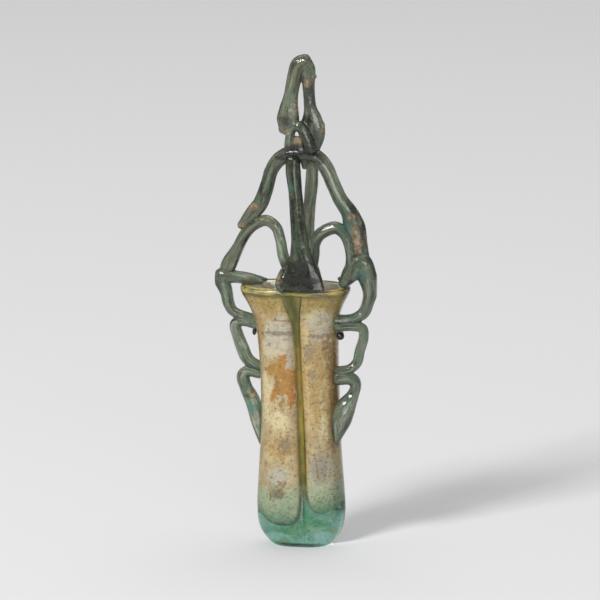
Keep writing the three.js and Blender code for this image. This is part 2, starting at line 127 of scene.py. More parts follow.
RIGHT_MIDDLE_TRAIL = [
    [17.5, -3, 103.9, 4.2, 9], [24.4, -2, 104.1, 4.4, 7.5], [28.8, -1, 103, 4.6, 6.5],
    [29.4, -1, 98.6, 4.5, 6.5], [27.7, -1, 92.4, 4.6, 6.5], [26.4, -1, 87, 4.7, 6.5],
    [23, -2, 83.9, 4.4, 7], [17.5, -3, 83, 4.2, 8],
]
RIGHT_LOWER_TRAIL = [
    [17.5, -3, 79.2, 5.6, 9], [22.8, -2, 79.6, 5.8, 8], [25.7, -1, 77, 5.2, 7],
    [24.8, -1, 72, 5.5, 7], [21.3, -2.6, 65.6, 9.4, 8.8], [18.9, -3.6, 58.4, 9, 9],
    [17.6, -4.2, 51, 3.6, 5.5],
]
LEFT_ARCH = [
    [-36, 0, 124, 4.6, 6], [-33.9, 0, 130.4, 7.2, 6], [-29.5, 0, 139, 5.3, 6],
    [-26, 0, 145.6, 5.2, 5.6], [-21.6, 0, 150, 5.2, 5.6], [-16.2, 0, 152, 5.2, 5.6],
    [-11.6, 0, 149, 5, 5.6], [-9.6, 0, 143, 4.9, 5.6], [-8.4, 0, 136, 5.3, 5.6],
    [-6, 0, 129.6, 5.3, 5.8], [-3.2, 0, 124, 5, 6],
]
RIGHT_ARCH = [
    [1.6, 1, 123.4, 5.2, 6], [4.8, 1, 129.3, 4.8, 5.6], [6.1, 1, 136, 4.8, 5.6],
    [6.5, 0.5, 141.8, 5.2, 5.6], [9.2, 0, 146.6, 5.6, 5.6], [15.6, 0, 149.7, 5.8, 5.6],
    [20.2, -0.6, 147.2, 5.2, 5.6], [22.8, -1.4, 141.6, 4.6, 5.4], [23.5, -1.6, 134, 4.6, 5.4],
    [21.6, -1, 127.6, 5.2, 5.6],
]
UPPER_ARCH = [
    [-28, 0, 149.2, 3.6, 5], [-23.6, 0, 154.2, 6.4, 6], [-18.8, 0, 160.2, 6.9, 6],
    [-15.8, 0, 168.4, 6.3, 6], [-14, 0, 175, 6, 6], [-10.6, 0, 180.4, 6.5, 6.5],
    [-5.6, 0, 183.5, 7, 7.2], [0.4, 0, 183.8, 8.4, 8], [6.4, 0, 182.8, 7.2, 7.6],
    [11.2, 0, 178.3, 6.9, 7], [15.2, 0, 169.8, 6.6, 7], [18.4, 0, 163, 6.8, 7],
    [22.4, 0.6, 156.8, 8, 7], [24.6, 0.8, 150, 10.4, 6.8], [26.3, 0.8, 142, 9, 6.8],
    [27.8, 0.4, 134.6, 8.6, 7],
]
FRONT_POST = [
    [-3.2, -3.6, 181.6, 6.6, 5], [-2.8, -4.4, 175, 6.8, 5.5], [-1.6, -5.5, 166, 6.3, 5.5],
    [0, -8, 154, 7.1, 5.5], [1.3, -10.4, 143, 8.6, 5.5], [2.4, -12, 134.5, 13, 5.4],
    [3, -13, 128, 18.4, 4.8], [2.8, -13.7, 123.4, 21.4, 4.2],
]
BACK_POST = [
    [4.7, 3, 181.6, 5.2, 5], [4, 4.8, 169, 5.8, 5], [2.7, 7.2, 157.5, 5.5, 5],
    [1.7, 9.6, 145, 5.6, 5], [1.2, 11.6, 133.5, 7.4, 5], [1.1, 12.8, 124, 12.4, 4.8],
]
LOOP_LEFT_STRAND = [
    [-7.2, -0.5, 195, 6.4, 6], [-6.1, -0.5, 199, 10.4, 7.5], [-5.6, -0.5, 204.4, 9, 7],
    [-4.7, -0.5, 210.4, 6.9, 6.4], [-2.9, -0.5, 220, 6.8, 6], [-1.2, -0.3, 225, 7.2, 6.2],
    [2.2, 0, 227.3, 6.4, 6],
]
LOOP_RIGHT_STRAND = [
    [1.4, 0.2, 227, 6.4, 6], [3.3, 0.8, 222.6, 6.4, 6], [3.3, 1.2, 214, 5.6, 5.8],
    [4, 1, 206, 5.8, 5.5], [4.9, 1, 201, 8.6, 6], [5.3, 0.6, 196.4, 11.4, 6],
    [6.6, 0.5, 191.8, 8.8, 5.6], [6.8, 0.5, 186, 4, 5],
]
LOOP_KNOT = [
    [-5.4, -0.5, 184.6, 4.8, 5.5], [-5.2, -1, 190.4, 4.4, 5.4], [-3.8, -2, 195.2, 4, 5],
    [-0.4, -2.8, 197.2, 4.6, 5], [2.8, -3.2, 192.6, 5.2, 5], [5, -3, 186.2, 5.2, 5],
]
LOOP_PLUG = [
    [-0.4, -1.5, 184.8, 7.2, 4.4], [-1.5, -1.5, 190.6, 4.8, 3.8],
]
TRAILS = {
    "left_side_handle": [LEFT_SHOULDER_TRAIL, LEFT_MIDDLE_TRAIL, LEFT_LOWER_TRAIL],
    "right_side_handle": [RIGHT_SHOULDER_TRAIL, RIGHT_MIDDLE_TRAIL, RIGHT_LOWER_TRAIL],
    "left_arch": [LEFT_ARCH],
    "right_arch": [RIGHT_ARCH],
    "upper_arch": [UPPER_ARCH],
    "front_post": [FRONT_POST],
    "back_post": [BACK_POST],
    "top_loop": [LOOP_LEFT_STRAND, LOOP_RIGHT_STRAND, LOOP_KNOT, LOOP_PLUG],
}
END_DOME_SHARE = 0.4

# Small forms that only show up close: a pale fold at the front post's foot, a drip under the crown, a
# nodule on the loop and the pointed tips of both shoulder trails
SMALL_FORMS = {
    "front_post": [[
        [-6.4, -12.6, 131.4, 2, 2],
        [-8, -13.8, 127.4, 2.4, 2.2],
        [-8.2, -14.3, 124, 2.4, 2],
        [-6.4, -14.4, 122.2, 2.2, 1.8],
    ]],
    "upper_arch": [[[1.6, -1.5, 181, 3.6, 3.4], [1.9, -1.5, 177.8, 2.4, 2.4]]],
    "top_loop": [[[5.4, 1, 219.6, 1.8, 1.8], [6.5, 1, 219.7, 1.5, 1.5]]],
    "left_side_handle": [[[-21, 4.6, 123, 3.2, 5], [-17.2, 5.4, 123.2, 1.5, 2]]],
    "right_side_handle": [[[18.2, -3.4, 126.5, 1.5, 1.5], [20.8, -2.4, 126.2, 3, 3]]],
}

# How light each trail is, and where it is paler or deeper: x, z, half width, half height
TONES = {"back_post": 1.15, "left_side_handle": 1.15, "upper_arch": 0.88, "top_loop": 0.92}
PALER_MOST = 0.4
PALER_PLACES = [[-5.5, 212, 4, 10], [-23, 60, 5, 12], [-9, 135, 3, 9], [9, 144, 5, 5]]
DEEPER_MOST = 0.72
DEEPER_PLACES = [
    [4, 211, 3.4, 9], [0.5, 184, 10, 5], [3, 191, 6, 5],
    [2.5, 200, 3, 3], [4, 128, 10, 7], [22.6, 119, 3.6, 5],
]
# Where the trails carry tan weathering, clearer teal glass and dark stains, in the same form
TAN_PLACES = [
    [-22.5, 158.6, 3.2, 2.2], [-27.6, 149.4, 2, 1.8], [-16.3, 153.2, 3, 1.2],
    [-22.9, 70.6, 2.6, 1.6], [27, 144.5, 2.4, 3.4], [25.6, 148.5, 1.4, 3],
    [23.9, 155.2, 1.6, 1.8], [26.4, 139.6, 2.6, 1.5], [-1.8, 205.4, 2.4, 3.6],
    [-7.2, 194.6, 2.8, 1.3], [-0.9, 190.4, 2.6, 2.6], [3.1, 217.3, 2, 2.2],
    [6.6, 220.5, 0.9, 0.8], [10.4, 195.6, 1, 2.8], [-8, 128, 1.2, 2.6],
]
TEAL_PLACES = [
    [-22.9, 63, 2.8, 3.4], [21, 152.6, 3.2, 5.4], [28.8, 128.4, 3.2, 3.6],
    [-3.7, 169.4, 2, 2.6], [-25.2, 75, 1.8, 2], [25, 112, 2.4, 3],
]
DARK_PLACES = [
    [18.2, 126.5, 1.4, 1.3], [22.5, 121, 3.4, 1.6], [-9, 182, 3, 1.2],
    [9, 181, 3, 1.4], [-1, 133, 8, 4.4], [3, 127.4, 9, 2.2],
    [-6.2, 199.6, 3, 2.8], [24.5, 158, 1.5, 5], [29, 147, 1.5, 7],
    [-17.6, 167, 1, 6], [7.3, 196.7, 1.2, 3], [0, 186.5, 8, 2.4],
    [-23.8, 68.9, 3, 0.5], [24.6, 124, 3, 2.4], [-32, 104.8, 5, 0.6],
]
# How the grain is stretched for the ribs along the trails
RIB_STRETCH = [0.045, 1.5, 1.5]
FINE_RIB_STRETCH = [0.07, 3.4, 3.4]
CRUST_THICKNESS = 0.1
# How much thicker than its stations a trail is, and how far it stays inside the solids' box
TRAIL_SWELL = 0.04
BOX_MARGIN = 0.02
STRAND_LEAST_WIDTH = 1.5

# The dark wire round the back
WIRE_HEIGHT = 97.4
WIRE_TIP_HEIGHT = 99.6
WIRE_THICKNESS = 1.6
WIRE_LEFT_REACH = 0.6
WIRE_RIGHT_REACH = 3.4
WIRE_LEFT_BEAD = [2, 3.4]
WIRE_RIGHT_BEAD = [3.7, 3.7]
WIRE_GROOVE_SHARE = 1 / 3
WIRE_SIDE_SETBACK = 1
WIRE_CLEARANCE = 0.6

# The crust of weathering on the tubes' walls: how far it reaches to both sides of the wall
LINING_INTO_GLASS = 0.25
LINING_INTO_TUBE = 0.15
LINING_TOP = 121.6

# The clouded glass sealed in the base and in the web between the tubes. Height, half of its width at
# most, and how far it stays behind the face of the body
CORE_SECTIONS = [
    [1.1, 30, 5.5],
    [5, 30, 6.6],
    [11, 26, 6.8],
    [17, 13, 6],
    [23, 5, 4.6],
    [28, 2.4, 3],
    [33, 1.7, 1],
    [70, 1.4, 0.8],
    [98, 1.4, 0.8],
    [106, 2, 0.8],
    [111, 2.9, 0.9],
    [117.8, 4.2, 1.2],
    [120.3, 4.4, 1.6],
]
CORE_SIDE_INSET = 1.5
CORE_CLEARANCE = 0.27
CORE_LEAST_DEPTH = 0.5
# Heights between which its base gives way to the green web, the green to brown and that to gold
CORE_BASE_END = (14, 32)
CORE_GREEN_END = (45, 70)
CORE_GOLD_START = (84, 106)
CORE_WANDER = 3
# Where the clouded base is emerald and where it is milky blue: x, z, half width, half height
EMERALD_PLACES = [[2.6, 12, 3.4, 7], [-4, 7.4, 6, 1.8], [8, 10.6, 5, 2]]
MILKY_PLACES = [[16, 9, 3.4, 7], [11, 4.4, 5, 2.6], [-10, 5, 6, 1.8], [4.6, 15, 1.2, 4]]

# The golden thread sealed in the lip
LIP_THREAD_HEIGHT = 120.4
LIP_THREAD_INSET = 1.1
LIP_THREAD_SIZE = [1.1, 2]
LIP_THREAD_UNEVEN = 0.25

# The blown body shrinks a little in places, but not at its foot and mouth
UNEVEN_SHARE = 0.016
UNEVEN_SIZE = 13
UNEVEN_START = (0, 5)
UNEVEN_END = (112, 118)

# How fine the meshes are
BODY_SIDES = 160
BODY_STEP = 0.8
FOOT_TOP = 10
FOOT_STEP = 0.4
MOUTH_START = 112
MOUTH_STEP = 0.35
TUBE_SIDES = 112
FLOOR_STEPS = 14
CORE_STEP = 0.9
STRAND_SIDES = 28
STRAND_STEPS = 10
DOME_STEPS = 5
LIP_THREAD_STATIONS = 49
WIRE_STATIONS = 17
WIRE_SIDES = 20
WIRE_STEPS = 6
BEAD_RINGS = 14
FUSE_VOXEL = 0.4
TRAIL_SMOOTHING = 3
WIRE_SMOOTHING = 2
SMOOTHING_SHARE = 0.5
SWELL_BACK = 1.03

# A mask is full up to the first share of its place's half size and gone at the second
MASK_FADE = (0.3, 1.5)
MASK_EDGE_SIZE = 4.5
ROUNDING = 1e-6
UP = (0, 0, 1)


def smooth_step(low, high, value):
    share = np.clip((value - low) / (high - low), 0, 1)
    return share * share * (3 - 2 * share)


def noise_at(points, size, seed=0.0):
    """Smooth noise, about -1 to 1, at each point; size is the size of its lumps in the points' unit."""
    offset = Vector((seed * 17.3, seed * 9.1, seed * 5.7))
    return np.array([noise.noise(Vector(p) / size + offset) for p in points])


def smooth_table(rows):
    """A smooth function of height through rows whose first column is the height."""
    table = np.array(rows, float)
    heights, values = table[:, 0], table[:, 1:]
    last = len(heights) - 1

    def at(z):
        z = np.clip(np.atleast_1d(np.asarray(z, float)), heights[0], heights[-1])
        high = np.clip(np.searchsorted(heights, z, side="right"), 1, last)
        low = high - 1
        start, end = heights[low], heights[high]
        before = np.where(low > 0, low - 1, high)
        after = np.where(high < last, high + 1, low)
        half_span = (end - start) / 2
        early = half_span / (start - heights[before])
        late = half_span / (heights[after] - end)
        p = (z - start) / (end - start)
        p2, p3 = p**2, p**3
        shares = [
            (before, -early * p3 + 2 * early * p2 - early * p),
            (low, (1 + early) * p3 + (-1.5 - 2 * early) * p2 + (early - 0.5) * p + 1),
            (high, (-1 - late) * p3 + (1.5 + late) * p2 + 0.5 * p),
            (after, late * p3 - late * p2),
        ]
        return sum(share[:, None] * values[row] for row, share in shares)

    return at


body_section_at = smooth_table(BODY_SECTIONS)
glass_at = smooth_table(GLASS_THICKNESS)
core_section_at = smooth_table(CORE_SECTIONS)


def half_depth_at(x, middle, half_width, half_depth, groove_share, groove_x):
    """Half the depth of an oval with a soft groove front and back, at places across it."""
    across = np.minimum(np.abs(x - middle) / half_width, 1)
    oval = half_depth * (1 - across**OVAL_POWER) ** (1 / OVAL_POWER)
    return oval * (1 - groove_share * np.exp(-(((x - groove_x) / GROOVE_SPREAD) ** 2)))


def round_angles(sides):
    return 2 * np.pi * np.arange(sides) / sides


def side_at(angle):
    """Which side of the middle plane a point at this angle is on: 1 at the back, -1 in front, 0 on it."""
    across = np.sin(angle)
    return np.where(np.abs(across) < ROUNDING, 0, np.sign(across))


def middle_of(ring, z):
    return [ring[:, 0].mean(), 0, z]


def closed_loft(rings, low_pole, high_pole):
    """Points and faces of a closed skin over rings of points, with the two poles as its last points."""
    sides = len(rings[0])
    points = np.vstack([*rings, [low_pole, high_pole]])
    faces = []
    for low in range(0, (len(rings) - 1) * sides, sides):
        for side in range(sides):
            after = (side + 1) % sides
            faces.append((low + side, low + after, low + sides + after, low + sides + side))
    top = (len(rings) - 1) * sides
    for side in range(sides):
        after = (side + 1) % sides
        faces.append((len(points) - 2, after, side))
        faces.append((top + side, top + after, len(points) - 1))
    return points, faces


def linked(name, data):
    obj = bpy.data.objects.new(name, data)
    bpy.context.scene.collection.objects.link(obj)
    return obj


def mesh_object(name, points, faces):
    """A mesh object from points in millimetres."""
    mesh = bpy.data.meshes.new(name)
    mesh.from_pydata((np.asarray(points) * MM).tolist(), [], faces)
    mesh.validate()
    mesh.update()
    mesh.polygons.foreach_set("use_smooth", [True] * len(mesh.polygons))
    return linked(name, mesh)


def points_of(obj):
    flat = np.empty(len(obj.data.vertices) * 3)
    obj.data.vertices.foreach_get("co", flat)
    return flat.reshape(-1, 3) / MM


def normals_of(obj):
    flat = np.empty(len(obj.data.vertices) * 3)
    obj.data.vertex_normals.foreach_get("vector", flat)
    return flat.reshape(-1, 3)


def move_points(obj, points):
    obj.data.vertices.foreach_set("co", (points * MM).ravel())
    obj.data.update()


def applied(obj):
    """The object with its modifiers made into its mesh."""
    depsgraph = bpy.context.evaluated_depsgraph_get()
    mesh = bpy.data.meshes.new_from_object(obj.evaluated_get(depsgraph))
    old = obj.data
    obj.modifiers.clear()
    obj.data = mesh
    bpy.data.meshes.remove(old)
    mesh.name = obj.name
    mesh.polygons.foreach_set("use_smooth", [True] * len(mesh.polygons))
    return obj


def put(obj, name, values, kind="FLOAT", field="value"):
    """Keeps a number, or another kind of value, at each point of the mesh."""
    layer = obj.data.attributes.new(name, kind, "POINT")
    layer.data.foreach_set(field, np.asarray(values, np.float32).ravel())


def near_places(points, places, ragged):
    """How much each point belongs to any of the places, 0 to 1; ragged is how far their edges wander."""
    x = points[:, 0] + ragged * noise_at(points, MASK_EDGE_SIZE, 1)
    z = points[:, 2] + ragged * noise_at(points, MASK_EDGE_SIZE, 2)
    most = np.zeros(len(points))
    for place_x, place_z, half_width, half_height in places:
        away = np.hypot((x - place_x) / half_width, (z - place_z) / half_height)
        most = np.maximum(most, 1 - smooth_step(*MASK_FADE, away))
    return most


def heights_between(low, high, step):
    return np.linspace(low, high, max(2, int(round((high - low) / step)) + 1))


def body_rings():
    heights = np.unique(np.concatenate([
        heights_between(0, FOOT_TOP, FOOT_STEP),
        heights_between(FOOT_TOP, MOUTH_START, BODY_STEP),
        heights_between(MOUTH_START, RIM_HEIGHT, MOUTH_STEP),
    ]))
    section = body_section_at(heights)[:, :, None]
    middle, half, deep, share, groove = (section[:, column] for column in range(5))
    angle = round_angles(BODY_SIDES)
    end = middle + np.sign(np.cos(angle)) * half
    x = groove + np.abs(np.cos(angle)) * (end - groove)
    y = side_at(angle) * half_depth_at(x, middle, half, deep, share, groove)
    z = np.broadcast_to(heights[:, None], x.shape)
    return np.stack([x, y, z], axis=2)


def made_body():
    rings = body_rings()
    flat = rings.reshape(-1, 3)
    slack = 0.5 + 0.5 * noise_at(flat, UNEVEN_SIZE, seed=3)
    fade = smooth_step(*UNEVEN_START, flat[:, 2]) * (1 - smooth_step(*UNEVEN_END, flat[:, 2]))
    shrink = 1 - UNEVEN_SHARE * np.clip(slack, 0, 1) * fade
    flat = flat * np.stack([shrink, shrink, np.ones(len(flat))], axis=1)
    low_pole = [BODY_SECTIONS[0][-1], 0, 0]
    high_pole = [BODY_SECTIONS[-1][-1], 0, RIM_HEIGHT]
    return hollowed(mesh_object("glass_body", *closed_loft(flat.reshape(rings.shape), low_pole, high_pole)))


def hollowed(obj, grow=0.0):
    """The object without the room of the two tubes, which is made larger all round by grow."""
    for _, side, floor in TUBES:
        hollow = made_hollow(side, floor, grow)
        cut = obj.modifiers.new("cut", "BOOLEAN")
        cut.operation = "DIFFERENCE"
        cut.solver = "MANIFOLD"
        cut.object = hollow
        applied(obj)
        bpy.data.objects.remove(hollow)
    return obj


def tube_levels(floor, top, grow):
    """Heights up one tube's hollow, and how full its ring is at each of them."""
    levels = []
    for step in range(1, FLOOR_STEPS + 1):
        angle = step / (FLOOR_STEPS + 1) * math.pi / 2
        levels.append((floor - grow + TUBE_FLOOR_ROUND * (1 - math.cos(angle)), math.sin(angle)))
    straight = heights_between(floor + TUBE_FLOOR_ROUND, MOUTH_START, BODY_STEP)
    mouth = heights_between(MOUTH_START, top, MOUTH_STEP)[1:]
    return levels + [(z, 1) for z in [*straight, *mouth]]


def tube_rings(side, levels, grow):
    """Rings of the hollow of the left (-1) or right (1) tube, larger all round by grow."""
    rings = []
    angle = round_angles(TUBE_SIDES)
    for z, fill in levels:
        middle, half, deep, share, groove = body_section_at(z)[0]
        left_wall, right_wall, face_wall, half_web = glass_at(z)[0]
        inner_half = half - (left_wall if side < 0 else right_wall)
        inner = groove + side * (half_web - grow)
        outer = middle + side * (inner_half + grow)
        centre = (inner + outer) / 2
        x = centre + abs(outer - inner) / 2 * np.cos(angle)
        from_web = np.minimum(np.abs(x - inner) / TUBE_INNER_ROUND, 1)
        round_off = np.sqrt(np.maximum(1 - (1 - from_web) ** 2, 0))
        depth = half_depth_at(x, middle, inner_half + grow, deep - face_wall + grow, share, groove)
        y = side_at(angle) * depth * round_off
        rings.append(np.stack([centre + fill * (x - centre), fill * y, np.full_like(x, z)], axis=1))
    return rings


def made_hollow(side, floor, grow):
    """The full hollow of one tube, out past the rim."""
    top = RIM_HEIGHT + MOUTH_CLEARANCE
    rings = tube_rings(side, tube_levels(floor, RIM_HEIGHT, grow) + [(top, 1)], grow)
    low_pole, high_pole = middle_of(rings[0], floor - grow), middle_of(rings[-1], top)
    return mesh_object("hollow", *closed_loft(rings, low_pole, high_pole))


def made_lining(name, side, floor):
    """The crust of weathered glass on the wall of one tube: a thin closed cup."""
    outside, inside = (
        tube_rings(side, tube_levels(floor, LINING_TOP, grow), grow)
        for grow in (LINING_INTO_GLASS, -LINING_INTO_TUBE)
    )
    low_pole = middle_of(outside[0], floor - LINING_INTO_GLASS)
    high_pole = middle_of(inside[0], floor + LINING_INTO_TUBE)
    return mesh_object(name, *closed_loft(outside + inside[::-1], low_pole, high_pole))


def made_core():
    rings = []
    angle = round_angles(TUBE_SIDES)
    for z in heights_between(CORE_SECTIONS[0][0], CORE_SECTIONS[-1][0], CORE_STEP):
        middle, half, deep, share, groove = body_section_at(z)[0]
        reach, inset = core_section_at(z)[0]
        left = max(groove - reach, middle - half + CORE_SIDE_INSET)
        right = min(groove + reach, middle + half - CORE_SIDE_INSET)
        x = (left + right) / 2 + (right - left) / 2 * np.cos(angle)
        depth = half_depth_at(x, middle, half, deep, share, groove) - inset
        y = side_at(angle) * np.maximum(depth, CORE_LEAST_DEPTH)
        rings.append(np.stack([x, y, np.full_like(x, z)], axis=1))
    skin = closed_loft(rings, rings[0].mean(axis=0), rings[-1].mean(axis=0))
    core = hollowed(mesh_object("clouded_core", *skin), CORE_CLEARANCE)
    points = points_of(core)
    z = points[:, 2] + CORE_WANDER * noise_at(points, size=6, seed=5)
    put(core, "upper", smooth_step(*CORE_GOLD_START, z))
    put(core, "lower", 1 - smooth_step(*CORE_GREEN_END, z))
    put(core, "base", 1 - smooth_step(*CORE_BASE_END, z))
    put(core, "emerald", near_places(points, EMERALD_PLACES, ragged=1.5))
    put(core, "milky", near_places(points, MILKY_PLACES, ragged=1.5))
    return core


def made_lip_thread():
    """A thread of uneven thickness round the lip, whose ends meet at the back."""
    middle, half, deep, share, groove = body_section_at(LIP_THREAD_HEIGHT)[0]
    half, deep = half - LIP_THREAD_INSET, deep - LIP_THREAD_INSET
    stations = []
    for angle in np.linspace(math.pi / 2, math.pi / 2 + 2 * math.pi, LIP_THREAD_STATIONS):
        x = middle + half * math.cos(angle)
        y = float(side_at(angle) * half_depth_at(x, middle, half, deep, share, groove))
        uneven = 1 + LIP_THREAD_UNEVEN * math.sin(5 * angle) * math.cos(3 * angle)
        stations.append([x, y, LIP_THREAD_HEIGHT] + [uneven * size for size in LIP_THREAD_SIZE])
    points, faces, _ = strand_skin(stations, sides=12, steps=4, front_axis=UP)
    return mesh_object("lip_thread", points, faces)


def along_strand(stations, steps):
    """Places along a strand: centre, tangent, width and depth, on a smooth curve through its stations."""
    knots = np.array(stations, float)
    knots = np.vstack([2 * knots[0] - knots[1], knots, 2 * knots[-1] - knots[-2]])
    spans = len(stations) - 1
    values, slopes = [], []
    for k in range(spans * steps + 1):
        span = min(k // steps, spans - 1)
        t = k / steps - span
        before, start, end, after = knots[span:span + 4]
        slope_start, slope_end = (end - before) / 2, (after - start) / 2
        cube = [
            start,
            slope_start,
            -3 * start + 3 * end - 2 * slope_start - slope_end,
            2 * start - 2 * end + slope_start + slope_end,
        ]
        values.append(cube[0] + cube[1] * t + cube[2] * t**2 + cube[3] * t**3)
        slopes.append(cube[1] + 2 * cube[2] * t + 3 * cube[3] * t**2)
    values, slopes = np.array(values), np.array(slopes)[:, :3]
    tangent = slopes / np.linalg.norm(slopes, axis=1)[:, None]
    width, depth = np.maximum(values[:, 3:5], STRAND_LEAST_WIDTH).T
    return values[:, :3], tangent, width, depth


def strand_skin(stations, sides=STRAND_SIDES, steps=STRAND_STEPS, front_axis=(0, 1, 0)):
    """Points and faces of one strand with domed ends, and what its route is, for the grain."""
    centre, tangent, width, depth = along_strand(stations, steps)
    deep = front_axis - (tangent @ front_axis)[:, None] * tangent
    deep /= np.linalg.norm(deep, axis=1)[:, None]
    wide = np.cross(deep, tangent)
    angle = 2 * np.pi * (np.arange(sides) + 0.5) / sides

    def ring(k, slide, scale):
        middle = centre[k] + slide * tangent[k]
        across = 0.5 * width[k] * scale * np.cos(angle)[:, None] * wide[k]
        through = 0.5 * depth[k] * scale * np.sin(angle)[:, None] * deep[k]
        return middle + across + through

    last = len(centre) - 1
    first_dome = END_DOME_SHARE * min(width[0], depth[0])
    last_dome = END_DOME_SHARE * min(width[last], depth[last])
    turns = [step / (DOME_STEPS + 1) * math.pi / 2 for step in range(1, DOME_STEPS + 1)]
    rings = [ring(0, -first_dome * math.sin(turn), math.cos(turn)) for turn in reversed(turns)]
    rings += [ring(k, 0, 1) for k in range(last + 1)]
    rings += [ring(last, last_dome * math.sin(turn), math.cos(turn)) for turn in turns]
    low_pole, high_pole = centre[0] - first_dome * tangent[0], centre[last] + last_dome * tangent[last]
    points, faces = closed_loft(rings, low_pole, high_pole)
    along = np.concatenate([[0], np.cumsum(np.linalg.norm(np.diff(centre, axis=0), axis=1))])
    route = dict(centre=centre, tangent=tangent, wide=wide, deep=deep, width=width, depth=depth, along=along)
    return points, faces, route


def fused(name, skins):
    """Strands pressed together while soft, as one closed skin."""
    points, faces, count = [], [], 0
    for skin_points, skin_faces, _ in skins:
        points.append(skin_points)
        faces += [tuple(corner + count for corner in face) for face in skin_faces]
        count += len(skin_points)
    # It is joined at a thousand times its size, so the voxels are given in millimetres
    obj = mesh_object(name, np.vstack(points) / MM, faces)
    remesh = obj.modifiers.new("fuse", "REMESH")
    remesh.mode = "VOXEL"
    remesh.voxel_size = FUSE_VOXEL
    remesh.use_smooth_shade = True
    applied(obj)
    move_points(obj, points_of(obj) * MM)
    return obj


def smoothed(obj, rounds):
    """Evens the skin out, and swells it back after each round so that it keeps its size."""
    points = points_of(obj)
    edges = np.empty(len(obj.data.edges) * 2, int)
    obj.data.edges.foreach_get("vertices", edges)
    edges = edges.reshape(-1, 2)
    reach = np.bincount(edges.ravel(), minlength=len(points)).astype(float)[:, None]
    for _ in range(rounds):
        for step in (SMOOTHING_SHARE, -SMOOTHING_SHARE * SWELL_BACK):
            total = np.zeros_like(points)
            np.add.at(total, edges[:, 0], points[edges[:, 1]])
            np.add.at(total, edges[:, 1], points[edges[:, 0]])
            points = points + step * (total / reach - points)
    move_points(obj, points)
    return obj


def grain_of(points, routes):
    """For each point, millimetres along its nearest strand and the way round it."""
    # The points that are worked on at once, and what keeps the grain of one strand apart from the next's
    at_once = 4000
    strand_offset = 200
    grain = np.zeros((len(points), 3))
    nearest = np.full(len(points), np.inf)
    for number, route in enumerate(routes):
        for start in range(0, len(points), at_once):
            part = slice(start, start + at_once)
            some = points[part]
            away = np.linalg.norm(some[:, None, :] - route["centre"][None], axis=2)
            away = away / (0.5 * route["width"][None])
            k = away.argmin(axis=1)
            closest = away[np.arange(len(some)), k]
            offset = some - route["centre"][k]
            across = (offset * route["wide"][k]).sum(axis=1) / (0.5 * route["width"][k])
            through = (offset * route["deep"][k]).sum(axis=1) / (0.5 * route["depth"][k])
            along = route["along"][k] + (offset * route["tangent"][k]).sum(axis=1)
            length = np.maximum(np.hypot(across, through), ROUNDING)
            here = np.stack([along + strand_offset * number, across / length, through / length], axis=1)
            better = closest < nearest[part]
            grain[part][better] = here[better]
            nearest[part][better] = closest[better]
    return grain


def made_trail(name, strands, seed):
    skins = [strand_skin(stations) for stations in strands + SMALL_FORMS.get(name, [])]
    obj = smoothed(fused(name + "_glass", skins), TRAIL_SMOOTHING)
    points, normals = points_of(obj), normals_of(obj)
    grain = grain_of(points, [route for _, _, route in skins])
    crust = near_places(points, TAN_PLACES, ragged=0.9)
    ribs = 0.24 * noise_at(grain * RIB_STRETCH, 1, seed)
    fine_ribs = 0.12 * noise_at(grain * FINE_RIB_STRETCH, 1, seed + 0.5)
    lumps = 0.08 * noise_at(points, 3.2, seed) + 0.04 * noise_at(points, 1.1, seed)
    flakes = crust * (0.12 * noise_at(points, 0.9, seed + 0.3) + CRUST_THICKNESS)
    lift = ribs + fine_ribs + lumps + flakes + TRAIL_SWELL
    points = points + normals * lift[:, None]
    low, high = np.array(cad_box) / MM
    move_points(obj, np.clip(points, low + BOX_MARGIN, high - BOX_MARGIN))
    put(obj, "grain", grain, "FLOAT_VECTOR", "vector")
    put(obj, "crust", crust)
    put(obj, "teal", near_places(points, TEAL_PLACES, ragged=1.2))
    put(obj, "stain", near_places(points, DARK_PLACES, ragged=0.8))
    tone = np.full(len(points), TONES.get(name, 1.0))
    tone *= 1 + PALER_MOST * near_places(points, PALER_PLACES, ragged=0.8)
    tone *= 1 - DEEPER_MOST * near_places(points, DEEPER_PLACES, ragged=0.8)
    put(obj, "tone", tone)
    return obj


def made_wire():
    middle, half, deep, share, groove = body_section_at(WIRE_HEIGHT)[0]
    clearance = WIRE_THICKNESS / 2 + WIRE_CLEARANCE
    half, deep = half + clearance, deep + clearance
    round_size = [WIRE_THICKNESS, WIRE_THICKNESS]
    stations = [[middle - half, -WIRE_LEFT_REACH, WIRE_TIP_HEIGHT] + round_size]
    for angle in np.linspace(math.pi, 0, WIRE_STATIONS):
        x = middle + half * math.cos(angle)
        body_depth = float(half_depth_at(x, middle, half, deep, share * WIRE_GROOVE_SHARE, groove))
        rise = (WIRE_TIP_HEIGHT - WIRE_HEIGHT) * abs(math.cos(angle)) ** 3
        stations.append([x, max(body_depth, WIRE_SIDE_SETBACK), WIRE_HEIGHT + rise] + round_size)
    stations.append([middle + half, -WIRE_RIGHT_REACH, WIRE_TIP_HEIGHT] + round_size)
    skins = [strand_skin(stations, WIRE_SIDES, WIRE_STEPS, UP)]
    for station, size in ((stations[0], WIRE_LEFT_BEAD), (stations[-1], WIRE_RIGHT_BEAD)):
        skins.append(bead_skin(station[:3], *size))
    return smoothed(fused("wire", skins), WIRE_SMOOTHING)


def bead_skin(centre, width, height):
    """The rounded tip of the wire: points and faces, and no route."""
    angle = round_angles(WIRE_SIDES)
    rings = []
    for tilt in np.linspace(-math.pi / 2, math.pi / 2, BEAD_RINGS + 2)[1:-1]:
        radius = 0.5 * width * math.cos(tilt)
        z = np.full(WIRE_SIDES, 0.5 * height * math.sin(tilt))
        rings.append(np.stack([radius * np.cos(angle), radius * np.sin(angle), z], axis=1) + centre)
    reach = np.array([0, 0, height / 2])
    return *closed_loft(rings, centre - reach, centre + reach), None


